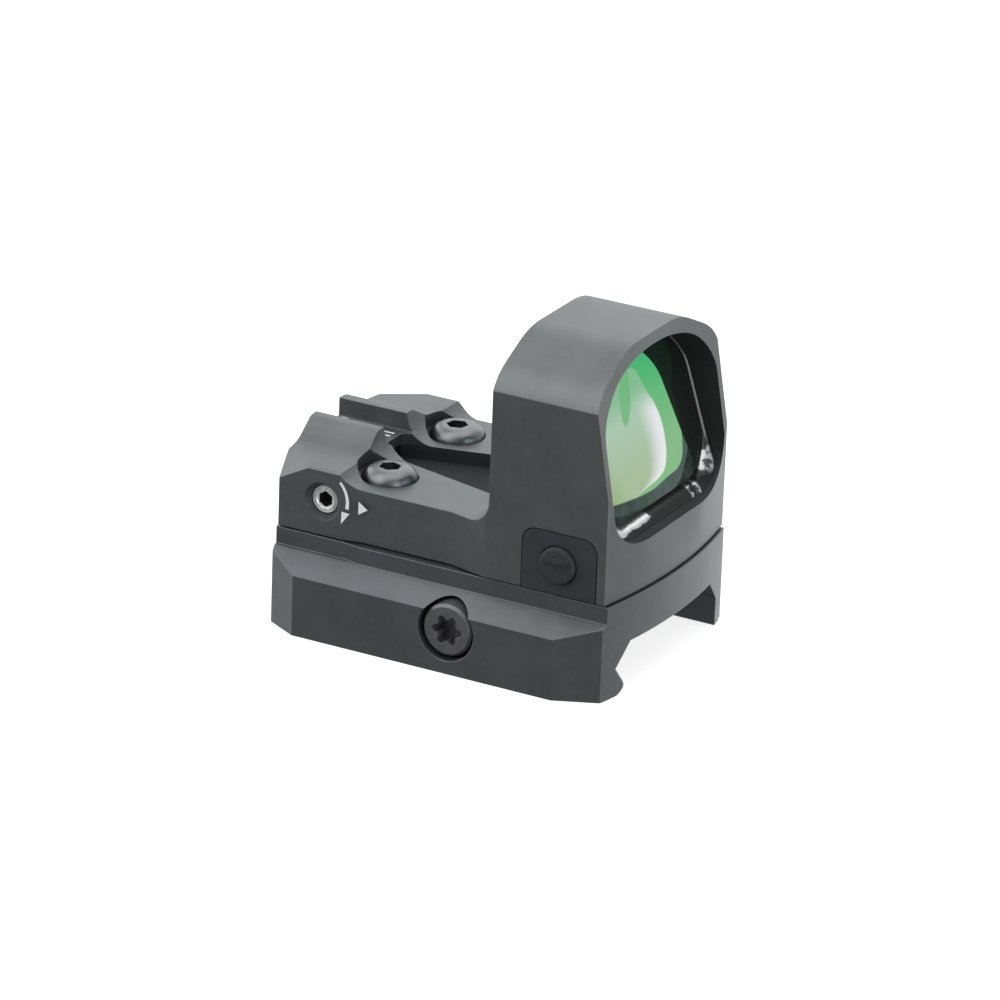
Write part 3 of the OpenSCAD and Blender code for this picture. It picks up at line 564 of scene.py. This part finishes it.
# ------------------------------------------------------ smooth shading by angle
def smooth_group(degrees):
    """Node group that welds the mesh and smooths edges flatter than the angle."""
    group = bpy.data.node_groups.new("smooth_by_angle_%d" % degrees, "GeometryNodeTree")
    for direction in ("INPUT", "OUTPUT"):
        group.interface.new_socket(
            "Geometry", in_out=direction, socket_type="NodeSocketGeometry")
    new, link = group.nodes.new, group.links.new
    start = new("NodeGroupInput")
    end = new("NodeGroupOutput")
    weld = new("GeometryNodeMergeByDistance")
    weld.inputs["Distance"].default_value = 2e-7
    faces = new("GeometryNodeSetShadeSmooth")
    edges = new("GeometryNodeSetShadeSmooth")
    faces.domain = "FACE"
    edges.domain = "EDGE"
    angle = new("GeometryNodeInputMeshEdgeAngle")
    flatter = new("FunctionNodeCompare")
    flatter.data_type = "FLOAT"
    flatter.operation = "LESS_THAN"
    flatter.inputs[1].default_value = math.radians(degrees)
    link(start.outputs[0], weld.inputs[0])
    link(weld.outputs[0], faces.inputs[0])
    faces.inputs["Shade Smooth"].default_value = True
    link(faces.outputs[0], edges.inputs[0])
    link(angle.outputs["Unsigned Angle"], flatter.inputs[0])
    link(flatter.outputs[0], edges.inputs["Shade Smooth"])
    link(edges.outputs[0], end.inputs[0])
    return group


DEFAULT_ANGLE = 24
PIECE_ANGLES = {"housing": 16, "jaw_spring": 40}
SMOOTH_GROUPS = {angle: smooth_group(angle) for angle in (16, 24, 40)}

# the two adjustment screws have their own steel, with painted shade in the key sockets
SCREW_STEEL = dict(base=(0.80, 0.80, 0.80), rough=0.26, metal=0.6)
PIECE_MATERIALS = {
    "windage_screw": steel("windage_steel", axis="X", **SCREW_STEEL,
                           socket=((WINDAGE_Y, WINDAGE_Z), 0.875, 11.36)),
    "elevation_screw": steel("elevation_steel", axis="Z", **SCREW_STEEL,
                             socket=((0.0, ELEVATION_Y), 0.76, 11.2)),
}
for row in frame["record"]["subparts"]:
    node_name = row["node"]
    piece = frame["nodes"][node_name]
    piece.data.materials.clear()
    piece.data.materials.append(
        PIECE_MATERIALS.get(node_name) or MATERIALS[row["material_slot"]])
    modifier = piece.modifiers.new("smooth_by_angle", "NODES")
    modifier.node_group = SMOOTH_GROUPS[PIECE_ANGLES.get(node_name, DEFAULT_ANGLE)]


# ------------------------------------------------------------- printed markings
def mesh_object(name, bm):
    """Turn the bmesh into an object in the scene."""
    mesh = bpy.data.meshes.new(name)
    bm.to_mesh(mesh)
    bm.free()
    obj = bpy.data.objects.new(name, mesh)
    bpy.context.scene.collection.objects.link(obj)
    return obj


def printed_mark(name, outline, place):
    """Thin plate; place maps a flat outline point and a height to x, y, z."""
    bm = bmesh.new()
    top, bottom = (
        [bm.verts.new(Vector(place(u, v, height)) * MM) for u, v in outline]
        for height in (PRINT_TOP, PRINT_BOTTOM))
    bm.faces.new(top)
    bm.faces.new(list(reversed(bottom)))
    for i in range(len(outline)):
        j = (i + 1) % len(outline)
        bm.faces.new([top[j], top[i], bottom[i], bottom[j]])
    bmesh.ops.recalc_face_normals(bm, faces=bm.faces)
    mark = mesh_object(name, bm)
    mark.data.materials.append(MATERIALS["white_print"])
    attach(mark, "sight")


def beside_screw(y, z, height):
    """Place on the side face, measured from the windage screw."""
    return (SIDE_X + height, WINDAGE_Y + y, WINDAGE_Z + z)


def on_groove(x, y, height):
    return (x, y, GROOVE_Z + height)


def arc_band(centre, radius, angles, widths, steps=18):
    """Outline of an arc whose width changes evenly from end to end."""
    outer, inner = [], []
    for i in range(steps + 1):
        t = i / steps
        angle = math.radians(angles[0] + (angles[1] - angles[0]) * t)
        half = (widths[0] + (widths[1] - widths[0]) * t) / 2
        for side, distance in ((outer, radius + half), (inner, radius - half)):
            side.append((centre[0] + distance * math.cos(angle),
                         centre[1] + distance * math.sin(angle)))
    return outer + inner[::-1]


ARROW_TAIL = arc_band(centre=(0.08, 0.38), radius=2.85, angles=(47, -12), widths=(0.26, 0.40))
# triangles: (y, z) from the windage screw
ARROW_HEAD = [(2.28, -0.60), (3.18, -0.66), (2.25, -1.93)]
SIDE_MARK = [(4.2, -0.50), (5.25, 0.2), (4.2, 0.90)]
printed_mark("windage_arrow_tail", ARROW_TAIL, beside_screw)
printed_mark("windage_arrow_head", ARROW_HEAD, beside_screw)
printed_mark("windage_side_mark", SIDE_MARK, beside_screw)

# bars in the groove: x from, x to, y from, y to
GROOVE_BARS = [
    (-1.13, -0.90, -14.2, -12.92),
    (-0.29, -0.06, -13.72, -12.96),
    (-2.1, -1.85, -19.8, -18.9)]
for i, (x0, x1, y0, y1) in enumerate(GROOVE_BARS):
    printed_mark("groove_mark_%d" % i, [(x0, y0), (x1, y0), (x1, y1), (x0, y1)], on_groove)


# ------------------------------------------------------------------------ stage
def soft_light(name, location, size, power):
    """Square light aimed just above the origin."""
    light = bpy.data.lights.new(name, "AREA")
    light.shape = "RECTANGLE"
    light.size = size
    light.size_y = size
    light.energy = power
    obj = bpy.data.objects.new(name, light)
    bpy.context.scene.collection.objects.link(obj)
    obj.location = location
    aim = Vector((0, 0, 0.01)) - Vector(location)
    obj.rotation_euler = aim.to_track_quat("-Z", "Y").to_euler()


soft_light("overhead_soft", location=(-0.10, 0.05, 0.70), size=0.7, power=1.6)
soft_light("left_soft", location=(-0.60, -0.10, 0.38), size=0.6, power=1.0)


def floor_paper():
    """Pale glowing paper that only the camera sees."""
    mat = Shading("floor_paper")
    fibre = mat.remap(mat.noise(scale=0.6, detail=3.0), 0.3, 0.7)
    light_path = mat.new("ShaderNodeLightPath")
    color = mat.mix(fibre, (0.40, 0.40, 0.40), (0.42, 0.42, 0.42))
    paper = mat.principled(color=color, rough=0.9, spec=0.1)
    glow = mat.new("ShaderNodeEmission")
    mat.put(glow.inputs["Color"], (1, 1, 1))
    mat.put(glow.inputs["Strength"], 0.78)
    lit = mat.new("ShaderNodeAddShader")
    mat.put(lit.inputs[0], paper.outputs[0])
    mat.put(lit.inputs[1], glow.outputs[0])
    unseen = mat.bsdf("Transparent", (1, 1, 1))
    return mat.finish(mat.mix_shaders(light_path.outputs["Is Camera Ray"], unseen, lit))


floor_bm = bmesh.new()
bmesh.ops.create_grid(floor_bm, x_segments=2, y_segments=2, size=3.0)
floor = mesh_object("floor", floor_bm)
floor.location = (0, 0, FLOOR_Z * MM)
floor.data.materials.append(floor_paper())

# Soft patches of light around the sight:
# direction, cosine where the patch starts, cosine where it is full, strength
AMBIENT = 0.275
LIGHT_PATCHES = [
    ((-0.75, 0.15, 0.65), -0.80, 0.90, 0.60),
    ((0.56, -0.44, 0.70), 0.72, 0.98, 1.85),
    ((-0.36, -0.88, 0.33), 0.86, 0.98, 1.55),
    ((-0.45, -0.81, -0.35), 0.84, 0.98, 1.15),
    ((0.33, -0.91, 0.10), 0.90, 0.99, 2.20),
    ((0.25, 0.90, 0.10), 0.78, 0.95, 1.80),
    ((-0.93, 0.05, -0.36), 0.84, 1.00, 1.00)]


def studio_world():
    """Patchy surround for reflections and light, plain white to the camera."""
    world = bpy.data.worlds.new("studio")
    world.use_nodes = True
    tree = world.node_tree
    background = tree.nodes["Background"]
    coordinates = tree.nodes.new("ShaderNodeTexCoord")
    light_path = tree.nodes.new("ShaderNodeLightPath")

    def combine(operation, *values):
        node = tree.nodes.new("ShaderNodeMath")
        node.operation = operation
        for socket, value in zip(node.inputs, values):
            if is_socket(value):
                tree.links.new(value, socket)
            else:
                socket.default_value = value
        return node.outputs[0]

    def patch(direction, start, full, strength):
        dot = tree.nodes.new("ShaderNodeVectorMath")
        dot.operation = "DOT_PRODUCT"
        tree.links.new(coordinates.outputs["Generated"], dot.inputs[0])
        dot.inputs[1].default_value = Vector(direction).normalized()
        fade = tree.nodes.new("ShaderNodeMapRange")
        fade.interpolation_type = "SMOOTHSTEP"
        tree.links.new(dot.outputs["Value"], fade.inputs["Value"])
        fade.inputs["From Min"].default_value = start
        fade.inputs["From Max"].default_value = full
        fade.inputs["To Max"].default_value = strength
        return fade.outputs["Result"]

    surround = AMBIENT
    for settings in LIGHT_PATCHES:
        surround = combine("ADD", surround, patch(*settings))
    seen = light_path.outputs["Is Camera Ray"]
    unseen = combine("MULTIPLY", surround, combine("SUBTRACT", 1.0, seen))
    tree.links.new(combine("ADD", unseen, seen), background.inputs["Strength"])
    background.inputs["Color"].default_value = (0.98, 0.99, 1.0, 1)
    return world


scene = bpy.context.scene
scene.world = studio_world()
scene.view_settings.view_transform = "Standard"

# camera ahead of the sight, above it and on its +X side
CAMERA_PLACE = Vector((559.6664520827, 297.9272640641, 263.8862502201)) * MM
CAMERA_RIGHT = (-0.4817875361683, 0.8756189254390, 0.0342383908192)
CAMERA_UP = (-0.3132447686847, -0.2085824247253, 0.9264831822475)
CAMERA_BACK = (0.8183877350526, 0.4356430528641, 0.3747754602515)
lens = bpy.data.cameras.new("camera")
lens.lens = 244.8226405062
lens.sensor_width = 36.0
lens.sensor_fit = "HORIZONTAL"
lens.clip_start = 0.01
lens.clip_end = 50
camera = bpy.data.objects.new("camera", lens)
scene.collection.objects.link(camera)
rows = zip(CAMERA_RIGHT, CAMERA_UP, CAMERA_BACK, CAMERA_PLACE)
camera.matrix_world = Matrix((*rows, (0, 0, 0, 1)))
scene.camera = camera

bpy.context.view_layer.update()
